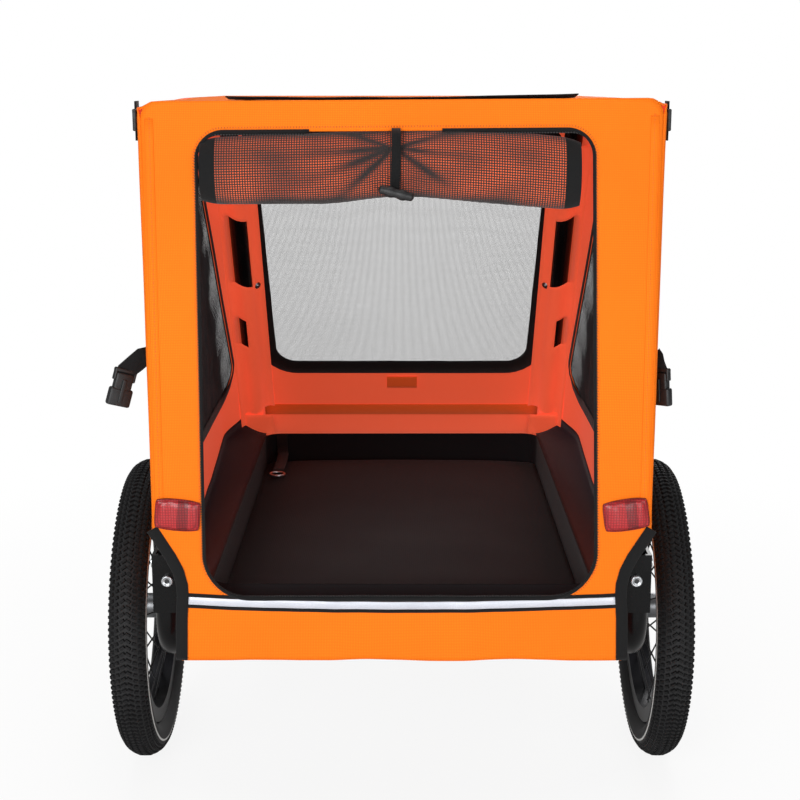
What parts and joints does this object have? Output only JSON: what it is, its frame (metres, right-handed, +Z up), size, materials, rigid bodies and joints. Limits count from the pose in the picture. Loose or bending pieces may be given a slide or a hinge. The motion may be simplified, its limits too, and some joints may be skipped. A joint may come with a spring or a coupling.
{
  "type": "dog bike trailer",
  "caption": "Two-wheeled cloth-covered dog trailer on a folding tube frame, with a mesh rear door tied up, mesh windows, a floor mat and a tow arm.",
  "frame": {"origin": "on the ground, under the middle of the bounding box", "axes": "+X to the right seen from behind, +Y forwards, +Z up"},
  "size_m": [0.788, 1.4504, 0.8986],
  "materials": {
    "steel_black": "gloss black powder coat",
    "zinc_steel": "zinc plated",
    "tyre_rubber": "matt",
    "rim_alloy": "black anodised",
    "spoke_steel": "black",
    "black_plastic": "moulded",
    "orange_cloth": "coated woven polyester",
    "black_net": "polyester mesh",
    "black_webbing": "woven tape",
    "black_cloth": "coated woven polyester",
    "silver_band": "retroreflective tape",
    "red_reflector": "clear red acrylic"
  },
  "bodies": {
    "chassis": {"axle_cross_tube": "steel_black", "axle_plates": "steel_black", "base_rail_left": "steel_black", "base_rail_right": "steel_black", "floor_mat": "black_cloth", "floor_tub": "black_cloth", "front_brackets": "steel_black", "front_cross_tube": "steel_black", "front_edges": "orange_cloth", "hinge_pins": "zinc_steel", "leash_ring": "zinc_steel", "leash_strap": "black_webbing", "lock_bolts": "zinc_steel", "rear_brackets": "steel_black", "rear_cross_tube": "steel_black", "rear_skirt": "orange_cloth", "reflective_band": "silver_band", "roof_flap": "black_webbing", "roof_panel": "orange_cloth", "side_mesh_left": "black_net", "side_mesh_right": "black_net", "side_wall_left": "orange_cloth", "side_wall_right": "orange_cloth", "stub_axles": "zinc_steel", "tow_cheeks": "steel_black", "tow_pin": "zinc_steel"},
    "rear_hoop": {"rear_upright_left": "steel_black", "rear_upright_right": "steel_black", "rear_crossbar": "steel_black", "rear_corners": "black_plastic", "rear_panel": "orange_cloth", "door_zip": "black_webbing", "reflectors": "red_reflector", "door_roll": "black_net", "door_loop": "black_webbing", "door_toggle": "black_plastic", "side_straps": "black_webbing", "side_buckles": "black_plastic", "strap_locks": "black_plastic"},
    "front_hoop": {"front_strut_left": "steel_black", "front_strut_right": "steel_black", "front_crossbar": "steel_black", "front_corners": "black_plastic", "front_panel": "orange_cloth", "front_mesh": "black_net"},
    "wheel_left": {"tyre_left": "tyre_rubber", "rim_left": "rim_alloy", "hub_left": "rim_alloy", "spokes_left": "spoke_steel"},
    "wheel_right": {"tyre_right": "tyre_rubber", "rim_right": "rim_alloy", "hub_right": "rim_alloy", "spokes_right": "spoke_steel"},
    "button_left": {"release_button_left": "black_plastic"},
    "button_right": {"release_button_right": "black_plastic"},
    "tow_bar": {"tow_arm": "steel_black", "hitch_knuckle": "black_plastic", "hitch_bolt": "zinc_steel"},
    "hitch": {"hitch_plate": "zinc_steel"}
  },
  "joints": [
    {"name": "wheel_left_spin", "type": "hinge", "parent": "chassis", "child": "wheel_left", "pos_m": [-0.346, -0.3198, 0.203], "axis": [1, 0, 0], "continuous": true},
    {"name": "wheel_right_spin", "type": "hinge", "parent": "chassis", "child": "wheel_right", "pos_m": [0.346, -0.3198, 0.203], "axis": [1, 0, 0], "continuous": true},
    {"name": "frame_fold", "type": "hinge", "parent": "chassis", "child": "rear_hoop", "pos_m": [0, -0.6728, 0.385], "axis": [-1, 0, 0], "range_deg": [0, 80], "deforming": ["rear_panel", "door_zip"]},
    {"name": "front_fold", "type": "hinge", "parent": "chassis", "child": "front_hoop", "pos_m": [0, 0.1112, 0.34], "axis": [1, 0, 0], "range_deg": [0, 53]},
    {"name": "tow_fold", "type": "hinge", "parent": "chassis", "child": "tow_bar", "pos_m": [-0.17, 0.1512, 0.276], "axis": [1, 0, 0], "range_deg": [0, 115]},
    {"name": "hitch_swivel", "type": "hinge", "parent": "tow_bar", "child": "hitch", "pos_m": [-0.17, 0.6572, 0.056], "axis": [0, 0, 1], "range_deg": [-50, 50]},
    {"name": "release_left", "type": "slide", "parent": "chassis", "child": "button_left", "axis": [1, 0, 0], "range_m": [0, 0.004], "stiffness_N_per_m": 400},
    {"name": "release_right", "type": "slide", "parent": "chassis", "child": "button_right", "axis": [-1, 0, 0], "range_m": [0, 0.004], "stiffness_N_per_m": 400}
  ],
  "couplings": [
    {"joint": "front_fold", "follows": "frame_fold", "ratio": 0.6625}
  ]
}
